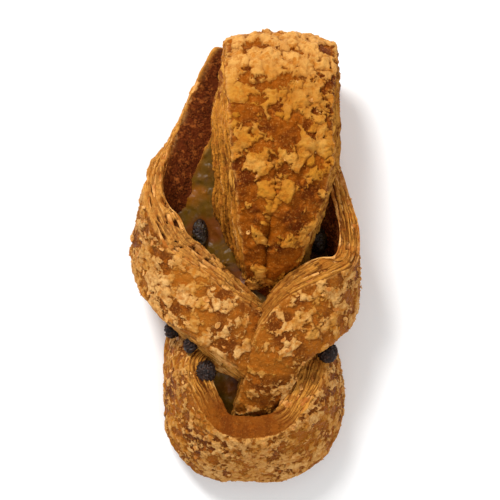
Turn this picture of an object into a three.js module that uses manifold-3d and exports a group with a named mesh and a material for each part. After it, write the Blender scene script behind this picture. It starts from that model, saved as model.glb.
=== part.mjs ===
// A braided loaf of laminated yeast dough with custard and raisins, as it lies on a table.
// Millimetres, +Z up. The loaf runs along Y and stands on its flat baked underside at Z = 0,
// with the origin under the middle of its outline.
// Three flat strips of layered dough are plaited over a bed of custard and baked into one
// piece. Whole raisins of the filling show in the gaps between the strips.
import * as THREE from "three";
import { ParametricGeometry } from "three/addons/geometries/ParametricGeometry.js";
import { mergeVertices } from "three/addons/utils/BufferGeometryUtils.js";
import Module from "manifold-3d";

const wasm = await Module();
wasm.setup();

// Driving dimensions of the baked loaf.
const LENGTH = 160;
const WIDTH = 82;
const HEIGHT = 46;
const STRIP_STEPS = 38; // sections along each strip
const STRIP_SIDES = 18; // points round each section
const END_ROUNDING = 5.5; // how far the cut end of a strip is rounded over
const RAISIN_GAP = 0.3; // clearance between a raisin and the dough baked round it

const DOUGH = new THREE.MeshStandardMaterial({ color: 0xb9782f, roughness: 0.6, metalness: 0 });
const RAISIN = new THREE.MeshStandardMaterial({ color: 0x33241f, roughness: 0.35, metalness: 0 });

// A strip is a list of stations along its middle line. Each has its place as shares of the
// half width, the half length and the height, the way its crust faces, the breadth of its
// crust and the strip's thickness in millimetres, and how much wider its base is than its crust.
const station = (x, y, z, crust, breadth, thick, flare = 0.1) => ({
  at: new THREE.Vector3((x * WIDTH) / 2, (y * LENGTH) / 2, z * HEIGHT),
  crust: new THREE.Vector3(...crust).normalize(),
  size: new THREE.Vector3(breadth, thick, flare),
});

// The crown strip starts as the broad tongue on top, dives under the left strip, comes out at
// the left edge on its side and closes the loaf's foot in a loop.
const CROWN_STRIP = [
  station(0.27, 0.87, 0.37, [0, 0.9, 0.43], 37, 15, 0.1),
  station(0.27, 0.825, 0.54, [0, 0.62, 0.78], 38, 17, 0.1),
  station(0.26, 0.71, 0.66, [0.03, 0.25, 0.96], 38, 19, 0.2),
  station(0.25, 0.575, 0.71, [0.06, 0.08, 1], 38, 20, 0.3),
  station(0.23, 0.425, 0.72, [0.08, 0, 1], 38, 20, 0.3),
  station(0.21, 0.275, 0.695, [0.06, -0.15, 1], 35, 20, 0.3),
  station(0.195, 0.15, 0.62, [0.03, -0.38, 0.92], 30, 19, 0.3),
  station(0.185, 0.04, 0.49, [0, -0.55, 0.83], 24, 18, 0.3),
  station(0.16, -0.075, 0.35, [-0.05, -0.5, 0.86], 20, 16, 0.2),
  station(0, -0.19, 0.25, [-0.1, -0.2, 0.97], 20, 14),
  station(-0.29, -0.29, 0.22, [-0.35, -0.1, 0.93], 21, 12),
  station(-0.52, -0.375, 0.27, [-0.85, 0.1, 0.5], 22, 8),
  station(-0.58, -0.475, 0.32, [-1, -0.05, 0.1], 27, 8),
  station(-0.54, -0.59, 0.335, [-0.93, -0.22, 0.3], 28, 9),
  station(-0.42, -0.71, 0.34, [-0.58, -0.6, 0.55], 28, 12),
  station(-0.23, -0.815, 0.35, [-0.25, -0.78, 0.57], 28, 13),
  station(0.035, -0.845, 0.36, [0, -0.82, 0.57], 28, 13),
  station(0.29, -0.815, 0.35, [0.25, -0.78, 0.57], 28, 13),
  station(0.5, -0.71, 0.34, [0.6, -0.6, 0.55], 28, 12),
  station(0.62, -0.58, 0.34, [0.95, -0.2, 0.25], 28, 11),
  station(0.64, -0.475, 0.27, [1, 0, 0.1], 25, 10),
  station(0.6, -0.37, 0.17, [0.9, 0.1, 0.3], 20, 9),
];

// The left strip comes from behind the tongue with its inner face up, stands on its edge at the
// left bend, and crosses the middle crust upwards before it dives to the right edge.
const LEFT_STRIP = [
  station(0.03, 0.86, 0.2, [-0.1, 0, -1], 26, 10),
  station(-0.1, 0.74, 0.22, [-0.15, 0, -0.98], 27, 10),
  station(-0.21, 0.62, 0.24, [-0.18, 0, -0.98], 27, 10),
  station(-0.315, 0.5, 0.26, [-0.25, 0, -0.97], 27, 10),
  station(-0.455, 0.365, 0.32, [-0.42, 0, -0.9], 27.5, 10),
  station(-0.62, 0.27, 0.37, [-0.76, 0, -0.65], 28, 10),
  station(-0.795, 0.175, 0.41, [-0.98, 0, 0.12], 28, 10),
  station(-0.785, 0.07, 0.455, [-0.93, -0.1, 0.34], 28, 10.5),
  station(-0.73, -0.03, 0.48, [-0.68, -0.48, 0.55], 27, 11),
  station(-0.575, -0.145, 0.54, [-0.4, -0.4, 0.82], 26, 13),
  station(-0.34, -0.25, 0.585, [-0.18, -0.22, 0.96], 26, 15),
  station(-0.085, -0.355, 0.565, [0.05, -0.1, 1], 26, 15),
  station(0.195, -0.455, 0.435, [0.3, -0.1, 0.95], 24, 13),
  station(0.415, -0.55, 0.3, [0.3, -0.15, 0.94], 22, 12),
  station(0.56, -0.66, 0.22, [0.2, -0.2, 0.95], 20, 11),
];

// The right strip mirrors the left one, crosses over it and dives narrowing under the foot loop.
const RIGHT_STRIP = [
  station(0.46, 0.85, 0.2, [0.1, 0, -1], 22, 10),
  station(0.45, 0.65, 0.24, [0.15, 0, -0.98], 24, 10),
  station(0.45, 0.475, 0.26, [0.25, 0, -0.97], 26, 10),
  station(0.55, 0.34, 0.33, [0.5, 0, -0.86], 26, 9),
  station(0.72, 0.22, 0.4, [0.95, 0, -0.2], 27, 8.5),
  station(0.83, 0.075, 0.445, [0.98, 0, 0.14], 27, 8.5),
  station(0.81, -0.075, 0.48, [0.9, -0.25, 0.35], 27, 10),
  station(0.68, -0.18, 0.545, [0.58, -0.42, 0.7], 26, 12),
  station(0.475, -0.27, 0.61, [0.25, -0.25, 0.93], 25, 14),
  station(0.28, -0.37, 0.62, [0.02, -0.2, 0.98], 21, 15),
  station(0.195, -0.475, 0.53, [-0.05, -0.5, 0.86], 18, 15),
  station(0.12, -0.59, 0.39, [0, -0.6, 0.8], 17, 14),
  station(0.06, -0.7, 0.27, [0, -0.4, 0.9], 17, 12),
  station(0.035, -0.81, 0.2, [0, -0.2, 0.98], 17, 10),
];

// The filled bed under the braid runs straight from the head to the foot.
const BED = [
  station(0.22, 0.88, 0.2, [0, 0, 1], 32, 24),
  station(0.22, 0.7, 0.3, [0, 0, 1], 36, 30),
  station(0.14, 0.45, 0.29, [0, 0, 1], 40, 30),
  station(0.04, 0.22, 0.23, [0, 0, 1], 52, 26),
  station(-0.02, 0, 0.18, [0, 0, 1], 58, 22),
  station(-0.02, -0.25, 0.17, [0, 0, 1], 52, 20),
  station(0, -0.5, 0.17, [0, 0, 1], 46, 20),
  station(0.03, -0.76, 0.15, [0, 0, 1], 40, 16),
];

// Raisins: place as shares of the half width, half length and height, three sizes in
// millimetres, and how far the raisin is turned about Z.
const RAISINS = {
  raisin_left_edge: { at: [-0.66, -0.335, 0.38], size: [5, 8, 6], turn: 0.8 },
  raisin_left_gap_upper: { at: [-0.5, -0.4, 0.58], size: [5, 7, 6], turn: 0.6 },
  raisin_left_gap: { at: [-0.37, -0.515, 0.57], size: [8.5, 9.5, 8], turn: 0.5 },
  raisin_left_valley: { at: [-0.42, 0.09, 0.42], size: [6.5, 12, 7], turn: 0.15 },
  raisin_right_valley: { at: [0.6, 0.06, 0.41], size: [6.5, 10, 7.5], turn: -0.1 },
  raisin_right_gap: { at: [0.67, -0.43, 0.54], size: [7, 8, 7], turn: -0.5 },
};

// A closed mesh as a solid: shared points are merged and triangles that close to a line go.
function toSolid(geometry) {
  const merged = mergeVertices(
    new THREE.BufferGeometry()
      .setAttribute("position", geometry.getAttribute("position"))
      .setIndex(geometry.getIndex()),
    1e-3,
  );
  const index = merged.getIndex().array;
  const kept = [];
  for (let i = 0; i < index.length; i += 3) {
    const [a, b, c] = [index[i], index[i + 1], index[i + 2]];
    if (a !== b && b !== c && c !== a) kept.push(a, b, c);
  }
  const mesh = new wasm.Mesh({
    numProp: 3,
    vertProperties: new Float32Array(merged.getAttribute("position").array),
    triVerts: new Uint32Array(kept),
  });
  return new wasm.Manifold(mesh);
}

function toGeometry(solid) {
  const { vertProperties, triVerts } = solid.getMesh();
  return new THREE.BufferGeometry()
    .setAttribute("position", new THREE.BufferAttribute(vertProperties, 3))
    .setIndex(new THREE.BufferAttribute(triVerts, 1));
}

// One point of a strip's section: a rounded slab with a domed crust on top and a wider base.
const SLAB_POWER = 0.5; // 1 would make the section an ellipse, 0 a rectangle
const DOME = 0.16; // height of the crust's dome, as a share of the thickness
const THINNEST = 1; // half the size of a strip at its very end
function sectionPoint(turn, breadth, thick, flare, shrink) {
  const [c, s] = [Math.cos(turn), Math.sin(turn)];
  const across = Math.sign(c) * Math.abs(c) ** SLAB_POWER;
  const up = Math.sign(s) * Math.abs(s) ** SLAB_POWER;
  const halfBreadth = Math.max(breadth / 2 - shrink, THINNEST);
  const halfThick = Math.max(thick / 2 - shrink, THINNEST);
  const dome = up > 0 ? DOME * thick * up * (1 - across * across) : 0;
  return [across * halfBreadth * (1 + (flare * (1 - up)) / 2), up * halfThick + dome];
}

// A strip of dough swept along its stations, with both cut ends rounded over.
function stripSolid(stations) {
  const places = new THREE.CatmullRomCurve3(stations.map((s) => s.at));
  const facings = new THREE.CatmullRomCurve3(stations.map((s) => s.crust));
  const sizes = new THREE.CatmullRomCurve3(stations.map((s) => s.size));
  const span = places.getLength();
  const surface = (around, along, target) => {
    const closed = along <= 0 || along >= 1;
    const centre = places.getPoint(along);
    const ahead = places.getTangent(along);
    const up = facings.getPoint(along);
    up.addScaledVector(ahead, -up.dot(ahead)).normalize();
    const side = new THREE.Vector3().crossVectors(up, ahead);
    const size = sizes.getPoint(along);
    const fromEnd = Math.min(Math.min(along, 1 - along) * span, END_ROUNDING);
    const rest = END_ROUNDING - fromEnd;
    const shrink = END_ROUNDING - Math.sqrt(END_ROUNDING ** 2 - rest ** 2);
    const [across, above] = sectionPoint(around * 2 * Math.PI, size.x, size.y, size.z, shrink);
    target.copy(centre);
    if (!closed) target.addScaledVector(side, across).addScaledVector(up, above);
  };
  return toSolid(new ParametricGeometry(surface, STRIP_SIDES, STRIP_STEPS));
}

// A wrinkled raisin, grown on every side by the clearance when it cuts its own pocket.
const WRINKLE = 0.07;
const RAISIN_SIDES = 12;
const RAISIN_RINGS = 8;
function raisinGeometry({ at, size, turn }, grow) {
  const surface = (around, rise, target) => {
    const [a, d] = [around * 2 * Math.PI, rise * Math.PI];
    const swell = 1 + WRINKLE * Math.sin(d) * Math.cos(5 * a + turn) * Math.cos(3 * d);
    target.set(
      (size[0] / 2 + grow) * swell * Math.sin(d) * Math.cos(a),
      (size[1] / 2 + grow) * swell * Math.sin(d) * Math.sin(a),
      -(size[2] / 2 + grow) * swell * Math.cos(d),
    );
  };
  const geometry = new ParametricGeometry(surface, RAISIN_SIDES, RAISIN_RINGS);
  geometry.rotateZ(turn);
  return geometry.translate((at[0] * WIDTH) / 2, (at[1] * LENGTH) / 2, at[2] * HEIGHT);
}

// Everything above the baking tray: the underside bakes flat on it.
function traySide() {
  const room = new THREE.BoxGeometry(2 * WIDTH, 2 * LENGTH, 2 * HEIGHT);
  return toSolid(room.translate(0, 0, HEIGHT));
}

// Brings the baked dough to its driving length, width and height, on the origin.
function fitToSize(solid) {
  const { min, max } = solid.boundingBox();
  const scale = [WIDTH / (max[0] - min[0]), LENGTH / (max[1] - min[1]), HEIGHT / max[2]];
  const middle = [(min[0] + max[0]) / 2, (min[1] + max[1]) / 2, 0];
  return solid.translate(middle.map((m) => -m)).scale(scale);
}

// Hollows closed off between the strips have proved shut, so only the outer surface is kept.
function outerBody(solid) {
  return solid.decompose().reduce((best, piece) => (piece.volume() > best.volume() ? piece : best));
}

function bakedDough() {
  const strips = [CROWN_STRIP, LEFT_STRIP, RIGHT_STRIP, BED].map(stripSolid);
  const raw = strips.reduce((all, strip) => all.add(strip));
  return fitToSize(outerBody(raw.intersect(traySide())));
}

const loaf = new THREE.Group();
let dough = bakedDough();
for (const [name, raisin] of Object.entries(RAISINS)) {
  dough = dough.subtract(toSolid(raisinGeometry(raisin, RAISIN_GAP)));
  const mesh = new THREE.Mesh(toGeometry(toSolid(raisinGeometry(raisin, 0))), RAISIN);
  mesh.name = name;
  loaf.add(mesh);
}
const braid = new THREE.Mesh(toGeometry(outerBody(dough)), DOUGH);
braid.name = "braided_dough";
loaf.add(braid);

export default loaf;
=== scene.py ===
import bpy
import numpy as np
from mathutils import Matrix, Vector


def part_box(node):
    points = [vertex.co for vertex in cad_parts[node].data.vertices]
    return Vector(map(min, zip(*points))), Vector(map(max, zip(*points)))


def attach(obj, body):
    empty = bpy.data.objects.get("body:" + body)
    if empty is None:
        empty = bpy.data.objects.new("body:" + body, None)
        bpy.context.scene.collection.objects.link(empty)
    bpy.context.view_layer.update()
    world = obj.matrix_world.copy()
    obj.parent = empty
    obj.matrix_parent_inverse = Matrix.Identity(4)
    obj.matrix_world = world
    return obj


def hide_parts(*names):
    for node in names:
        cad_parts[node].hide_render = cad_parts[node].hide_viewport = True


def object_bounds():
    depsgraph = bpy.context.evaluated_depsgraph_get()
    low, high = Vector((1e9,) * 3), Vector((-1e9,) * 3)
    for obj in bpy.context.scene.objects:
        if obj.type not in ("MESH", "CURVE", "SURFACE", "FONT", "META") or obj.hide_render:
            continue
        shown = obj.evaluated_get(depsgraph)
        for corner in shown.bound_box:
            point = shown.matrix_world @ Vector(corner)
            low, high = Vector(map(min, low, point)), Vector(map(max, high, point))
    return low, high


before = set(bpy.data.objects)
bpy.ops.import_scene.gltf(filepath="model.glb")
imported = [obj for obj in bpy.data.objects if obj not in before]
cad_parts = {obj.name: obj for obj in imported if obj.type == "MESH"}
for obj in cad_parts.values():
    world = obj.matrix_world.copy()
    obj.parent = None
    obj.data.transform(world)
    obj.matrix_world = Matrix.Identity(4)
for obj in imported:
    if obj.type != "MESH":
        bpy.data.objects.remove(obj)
cad_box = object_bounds()

# ---------------------------------------------------------------------------------------
# Tongue
# The head of the first strip: a broad slab of laminated dough, cut with a knife on both
# sides, its egg-washed top leaf blistered into pale flakes over a glazed brown ground.
# It is laid over the other two strips, creased down its lower half, and dives under the left.
# ---------------------------------------------------------------------------------------
MM = 0.001
HALF = np.array([cad_box[1][0], cad_box[1][1]]) / MM  # half the loaf's width and length
HEIGHT = cad_box[1][2] / MM
TONGUE = [
    # place as shares of half width, half length and height; the way the crust faces;
    # breadth, thickness, how much wider the base is, share of crust under pale flakes,
    # how far the base leans to the left
    (0.27, 0.893, 0.37, 0, 0.9, 0.43, 39.5, 15, 0.06, 0.76, 0),
    (0.27, 0.845, 0.54, 0, 0.62, 0.78, 39.5, 17, 0.06, 0.76, 0),
    (0.26, 0.71, 0.66, 0.03, 0.25, 0.96, 37.5, 19, 0.15, 0.68, 0),
    (0.25, 0.575, 0.71, 0.06, 0.08, 1, 36, 20, 0.25, 0.58, 0.5),
    (0.26, 0.425, 0.72, 0.08, 0, 1, 35.5, 20, 0.25, 0.54, 1.2),
    (0.25, 0.275, 0.695, 0.06, -0.15, 1, 31, 20, 0.34, 0.5, 2),
    (0.21, 0.15, 0.62, 0.03, -0.38, 0.92, 24.5, 19, 0.55, 0.45, 2.8),
    (0.2, 0.04, 0.49, 0, -0.55, 0.83, 20, 18, 0.75, 0.38, 2.4),
    (0.2, -0.075, 0.35, -0.05, -0.5, 0.86, 18, 16, 0.5, 0.3, 1.2),
    (0.08, -0.17, 0.28, -0.1, -0.3, 0.94, 16, 14, 0.2, 0.24, 0),
]
DOME = 0.16  # rise of the crust's middle, as a share of the thickness
DOME_START = 18  # distance from an end at which the crust's middle has its full rise
END_ROUNDING = 4.0
CAP_RINGS = np.linspace(0.06, 0.96, 12)  # rings that close an end, as shares of its section
CAP_BULGE = 1.6
EDGE_ROUNDING = 0.9
OUTLINE_SPACING = 0.33  # between the points round a section
PATH_SMOOTHING = 1.5
TURN_SMOOTHING = 4
TRAY_GAP = 0.05  # dough closer to the table than this baked flat on the tray
HEAD_START, HEAD_LENGTH = 0.7, 0.25  # the rounded head end, as shares of half the length
HEAD_REACH = 20  # distance from the head's peak at which it has fallen back in full
LEAF_POINTS = slice(8, -8, 3)  # the points of an edge that its leaves follow


def spline(stations, step):
    """A smooth curve through the stations, sampled every step: run length and rows."""
    rows = np.array(stations, float)
    rows[:, :3] *= (HALF[0], HALF[1], HEIGHT)
    lengths = np.linalg.norm(np.diff(rows[:, :3], axis=0), axis=1)
    knots = np.concatenate([[0], np.cumsum(np.sqrt(lengths))])
    gaps = np.diff(knots)[:, None]
    slopes = np.diff(rows, axis=0) / gaps
    turns = np.empty_like(rows)
    turns[0], turns[-1] = slopes[0], slopes[-1]
    turns[1:-1] = (slopes[:-1] * gaps[1:] + slopes[1:] * gaps[:-1]) / (gaps[1:] + gaps[:-1])
    fine = np.linspace(0, knots[-1], 3000)
    k = np.clip(np.searchsorted(knots, fine, side="right") - 1, 0, len(gaps) - 1)
    h = gaps[k]
    t = (fine - knots[k])[:, None] / h
    values = (2 * t**3 - 3 * t**2 + 1) * rows[k] + (3 * t**2 - 2 * t**3) * rows[k + 1]
    values += (t**3 - 2 * t**2 + t) * h * turns[k] + (t**3 - t**2) * h * turns[k + 1]
    run = np.linalg.norm(np.diff(values[:, :3], axis=0), axis=1)
    run = np.concatenate([[0], np.cumsum(run)])
    even = np.linspace(0, run[-1], int(run[-1] / step))
    return even, np.stack([np.interp(even, run, column) for column in values.T], axis=1)


def smoothed(values, reach, closed=False):
    """A Gaussian blur along the first axis, reach samples wide."""
    span = int(3 * reach) + 1
    weights = np.exp(-0.5 * (np.arange(-span, span + 1) / reach) ** 2)
    weights /= weights.sum()
    edges = [(span, span)] + [(0, 0)] * (values.ndim - 1)
    padded = np.pad(values, edges, mode="wrap" if closed else "edge")
    return sum(w * padded[i : i + len(values)] for i, w in enumerate(weights))


def unit(vectors):
    return vectors / np.linalg.norm(vectors, axis=-1, keepdims=True)


def strip_outline(crust, side, under):
    """Across, level and zone of each point round a strip's section, as seen from its end."""
    rise = np.linspace(-1, 1, side, endpoint=False)
    cross = np.linspace(1, -1, crust, endpoint=False)
    back = np.linspace(-1, 1, under, endpoint=False)
    across = np.concatenate([np.ones(side), cross, -np.ones(side), back])
    level = np.concatenate([rise, np.ones(crust), -rise, -np.ones(under)])
    zone = np.repeat([1, 0, 1, 2], [side, crust, side, under])
    return across, level, zone


def edge_path(name, points, below, outward, sealed):
    """A line along a crust's edge that knows which way its cut side lies, for the leaves."""
    mesh = bpy.data.meshes.new(name)
    count = len(points[LEAF_POINTS])
    mesh.from_pydata(points[LEAF_POINTS] * MM, [(i, i + 1) for i in range(count - 1)], [])
    pairs = ("below", below[LEAF_POINTS] * MM), ("outward", outward[LEAF_POINTS])
    for label, values in pairs:
        data = mesh.attributes.new(label, "FLOAT_VECTOR", "POINT").data
        data.foreach_set("vector", values.astype(np.float32).ravel())
    data = mesh.attributes.new("sealed", "FLOAT", "POINT").data
    data.foreach_set("value", sealed[LEAF_POINTS].astype(np.float32))
    EDGE_PATHS[name] = mesh


EDGE_PATHS = {}


def fall_back(points, peak, fall):
    """Rounds a head end, seen from above, by letting it fall back on both sides of its peak."""
    share = np.clip((points[..., 1] / HALF[1] - HEAD_START) / HEAD_LENGTH, 0, 1)
    points[..., 1] -= fall * share * ((points[..., 0] - peak) / HEAD_REACH) ** 2


def sweep_strip(name, stations, step, counts, floor, opening, ease=(1.8, 1.8), peak=0.0, fall=0.0):
    """A strip's closed mesh before it is baked rough, with its layer coordinates stored."""
    along, rows = spline(stations, step)
    centre = smoothed(rows[:, :3], PATH_SMOOTHING / step)
    ahead = unit(np.gradient(centre, axis=0))
    facing = smoothed(unit(rows[:, 3:6]), TURN_SMOOTHING / step)
    up = unit(facing - (facing * ahead).sum(1, keepdims=True) * ahead)
    right = np.cross(up, ahead)
    across, level, zone = strip_outline(*counts)
    rest = END_ROUNDING - np.minimum(np.minimum(along, along[-1] - along), END_ROUNDING)
    shrink = (END_ROUNDING - np.sqrt(END_ROUNDING**2 - rest**2))[:, None]
    half_breadth = np.maximum(rows[:, 6:7] / 2 - shrink, 1)
    half_thick = np.maximum(rows[:, 7:8] / 2 - shrink, 1)
    flare = rows[:, 8:9]
    out = across * half_breadth * (1 + flare * (1 - level) / 2)
    if rows.shape[1] > 10:
        out = out - rows[:, 10:11] * (1 - level) / 2
    rise = level * half_thick
    from_end = np.minimum(along, along[-1] - along)[:, None]
    dome = DOME * np.clip(from_end / DOME_START, 0, 1) * rows[:, 7:8]
    rise = rise + (zone == 0) * dome * (1 - across**2)
    out = smoothed(out.T, EDGE_ROUNDING / OUTLINE_SPACING, closed=True).T
    rise = smoothed(rise.T, EDGE_ROUNDING / OUTLINE_SPACING, closed=True).T
    points = centre[:, None] + out[..., None] * right[:, None] + rise[..., None] * up[:, None]
    share = (across[:, None] + 1) / 2
    points = sum(smoothed(points * w, e / step) for w, e in zip((1 - share, share), ease))
    fall_back(points, peak, fall)
    shares, pores, seals = zip(*opening)
    pores = np.interp(along / along[-1], shares, pores)
    seals = np.interp(along / along[-1], shares, seals)
    for side_name, side, reach in (("left", -1, ease[0]), ("right", 1, ease[1])):
        edge = centre + side * half_breadth * right + half_thick * up
        foot = centre + side * half_breadth * (1 + flare) * right - half_thick * up
        edge, foot = (smoothed(line, reach / step) for line in (edge, foot))
        fall_back(edge, peak, fall)
        fall_back(foot, peak, fall)
        edge_path(f"{name}_{side_name}_edge", edge, foot - edge, side * right, seals)
    closing = [0] * len(CAP_RINGS), range(len(along)), [len(along) - 1] * len(CAP_RINGS)
    at = np.concatenate(closing)
    share = np.concatenate([CAP_RINGS, np.ones(len(along)), CAP_RINGS[::-1]])[:, None, None]
    bulge = np.sqrt(1 - share**2) * CAP_BULGE * ahead[at][:, None]
    bulge[: len(CAP_RINGS)] *= -1
    middle = points.mean(axis=1, keepdims=True)[at]
    points = middle + (points[at] - middle) * share + bulge
    points[..., 2] = np.maximum(points[..., 2], floor)
    ends = points[[0, -1]].mean(axis=1)
    rings, sides = points.shape[:2]
    along, rows, out = along[at], rows[at], out[at]
    pores, seals = pores[at], seals[at]
    masks = [smoothed((zone == z).astype(float), 2, closed=True) for z in range(3)]
    fields = {
        "crust": np.broadcast_to(masks[0], (rings, sides)),
        "cut": np.broadcast_to(masks[1], (rings, sides)),
        "under": np.broadcast_to(masks[2], (rings, sides)),
        "along": np.broadcast_to(along[:, None], (rings, sides)),
        "down": (1 - level) / 2 * rows[:, 7:8],
        "across": out,
        "cover": np.broadcast_to(rows[:, 9:10], (rings, sides)),
        "open": np.broadcast_to(pores[:, None], (rings, sides)),
        "sealed": np.broadcast_to(seals[:, None], (rings, sides)),
        "flat": (points[..., 2] <= floor + TRAY_GAP).astype(float),
    }
    ring = np.arange(rings * sides).reshape(rings, sides)
    after = np.roll(ring, -1, axis=1)
    quads = np.stack([ring[:-1], after[:-1], after[1:], ring[1:]], axis=-1).reshape(-1, 4)
    head, foot = rings * sides, rings * sides + 1
    caps = [(head, b, a) for a, b in zip(ring[0], after[0])]
    caps += [(foot, a, b) for a, b in zip(ring[-1], after[-1])]
    mesh = bpy.data.meshes.new(name)
    vertices = np.concatenate([points.reshape(-1, 3), ends])
    mesh.from_pydata(vertices * MM, [], quads.tolist() + caps)
    for field, values in fields.items():
        ends_of = [values[0].mean(), values[-1].mean()]
        data = np.concatenate([values.reshape(-1), ends_of]).astype(np.float32)
        mesh.attributes.new(field, "FLOAT", "POINT").data.foreach_set("value", data)
    rest_at = mesh.attributes.new("rest", "FLOAT_VECTOR", "POINT").data
    rest_at.foreach_set("vector", vertices.astype(np.float32).ravel())
    mesh.shade_smooth()
    piece = bpy.data.objects.new(name, mesh)
    bpy.context.scene.collection.objects.link(piece)
    return piece


class Wiring:
    """Adds nodes to a geometry or shader tree and joins them up."""

    def __init__(self, tree):
        self.tree = tree

    def feed(self, socket, value):
        if isinstance(value, bpy.types.NodeSocket):
            self.tree.links.new(value, socket)
        else:
            socket.default_value = value

    def add(self, kind, inputs=None, **settings):
        node = self.tree.nodes.new(kind)
        for key, value in settings.items():
            setattr(node, key, value)
        for key, value in (inputs or {}).items():
            self.feed(node.inputs[key], value)
        return node

    def math(self, operation, *values):
        node = self.add("ShaderNodeMath", dict(enumerate(values)), operation=operation)
        return node.outputs[0]

    def total(self, *values):
        result = values[0]
        for value in values[1:]:
            result = self.math("ADD", result, value)
        return result

    def times(self, *values):
        result = values[0]
        for value in values[1:]:
            result = self.math("MULTIPLY", result, value)
        return result

    def ramp(self, value, low, high, to_low=0.0, to_high=1.0):
        node = self.add("ShaderNodeMapRange", interpolation_type="SMOOTHSTEP")
        for key, item in zip(range(5), (value, low, high, to_low, to_high)):
            self.feed(node.inputs[key], item)
        return node.outputs[0]

    def stretch(self, vector, factor):
        node = self.add("ShaderNodeVectorMath", {0: vector}, operation="SCALE")
        self.feed(node.inputs["Scale"], factor)
        return node.outputs[0]

    def shift(self, first, second):
        node = self.add("ShaderNodeVectorMath", {0: first, 1: second}, operation="ADD")
        return node.outputs[0]

    def vector(self, x, y, z):
        return self.add("ShaderNodeCombineXYZ", {0: x, 1: y, 2: z}).outputs[0]

    def noise(self, at, scale, detail=3.0, rough=0.5, bend=0.0, output=0):
        inputs = {"Vector": at, "Scale": scale, "Detail": detail, "Roughness": rough}
        node = self.add("ShaderNodeTexNoise", {**inputs, "Distortion": bend})
        return node.outputs[output]

    def cells(self, at, scale, output, feature="F1"):
        node = self.add("ShaderNodeTexVoronoi", {"Vector": at, "Scale": scale}, feature=feature)
        return node.outputs[output]

    def blend(self, amount, first, second):
        node = self.add("ShaderNodeMix", data_type="RGBA")
        colour_sockets = [s for s in node.inputs if s.type == "RGBA"]
        self.feed(node.inputs[0], amount)
        self.feed(colour_sockets[0], first)
        self.feed(colour_sockets[1], second)
        return [s for s in node.outputs if s.type == "RGBA"][0]


def new_tree(name, kind, inputs, outputs):
    """An empty node tree with its sockets, each given as a label and the type of its value."""
    tree = bpy.data.node_groups.new(name, kind)
    for way, sockets in (("INPUT", inputs), ("OUTPUT", outputs)):
        for label, sort in sockets:
            tree.interface.new_socket(label, in_out=way, socket_type="NodeSocket" + sort)
    return tree


def run_tree(piece, tree, values):
    """Runs a geometry tree on a piece and leaves the result as a plain mesh."""
    modifier = piece.modifiers.new(tree.name, "NODES")
    modifier.node_group = tree
    sockets = {s.name: s.identifier for s in tree.interface.items_tree if s.in_out == "INPUT"}
    for label, value in values.items():
        modifier[sockets[label]] = value
    shown = piece.evaluated_get(bpy.context.evaluated_depsgraph_get())
    piece.data = bpy.data.meshes.new_from_object(shown)
    piece.modifiers.clear()


def new_material(name):
    """A material, the wiring of its tree and its shader's sockets."""
    material = bpy.data.materials.new(name)
    material.use_nodes = True
    tree = material.node_tree
    return material, Wiring(tree), tree.nodes["Principled BSDF"].inputs


def flaking(w, rest, size, cover, seed):
    """Blistered flakes of the top leaf: where they are, their puff, tone and cracks."""
    at = w.shift(w.stretch(rest, w.math("DIVIDE", 1.0, size)), w.vector(seed, 0.0, 0.0))
    swirl = w.shift(w.noise(at, 1.1, 3.0, output=1), (-0.5, -0.5, -0.5))
    at = w.shift(at, w.stretch(swirl, 0.75))
    plate = w.add("ShaderNodeSeparateXYZ", {0: w.cells(at, 0.8, "Color")}).outputs[0]
    edge = w.cells(at, 0.8, "Distance", "DISTANCE_TO_EDGE")
    islands = w.noise(at, 0.6, 7.0, 0.62)
    share = w.total(w.times(islands, 0.8), w.times(plate, 0.2))
    limit = w.math("MULTIPLY_ADD", cover, -0.3, 0.655)
    flake = w.ramp(w.math("SUBTRACT", share, limit), -0.008, 0.022)
    puff = w.ramp(edge, 0.0, 0.3)
    broken = w.ramp(w.noise(at, 0.9, 2.0), 0.53, 0.62)
    crack = w.times(w.ramp(edge, 0.055, 0.0), broken)
    return flake, puff, plate, crack


def layering(w, along, down, pitch, run, seed):
    """Leaves on a cut side: open pores, how far each patch reaches out, fine leaf lines."""
    drift = w.noise(w.vector(w.times(along, 0.05), w.times(down, 0.1), seed), 1.0, 3.0, 0.55)
    level = w.math("ADD", w.math("DIVIDE", down, pitch), w.times(drift, 4.5))
    place = w.vector(w.times(along, 0.27), w.times(level, 0.5), seed)
    swirl = w.shift(w.noise(place, 1.3, 2.0, output=1), (-0.5, -0.5, -0.5))
    place = w.shift(place, w.stretch(swirl, 0.8))
    part = w.add("ShaderNodeSeparateXYZ", {0: w.cells(place, 1.0, "Color")}).outputs
    oval = w.ramp(w.cells(place, 1.0, "Distance"), 0.58, 0.36)
    pore = w.times(oval, w.ramp(part[0], 0.35, 0.6))
    row = w.vector(w.math("DIVIDE", along, run), w.times(level, 1.15), seed)
    lines = w.noise(row, 1.0, 4.0, 0.62)
    return pore, part[1], lines


RELIEF_INPUTS = "Flake Size", "Flake Lift", "Leaf Pitch", "Leaf Run", "Leaf Depth"
RELIEF_INPUTS += "Lumps", "Seed", "Floor"


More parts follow.
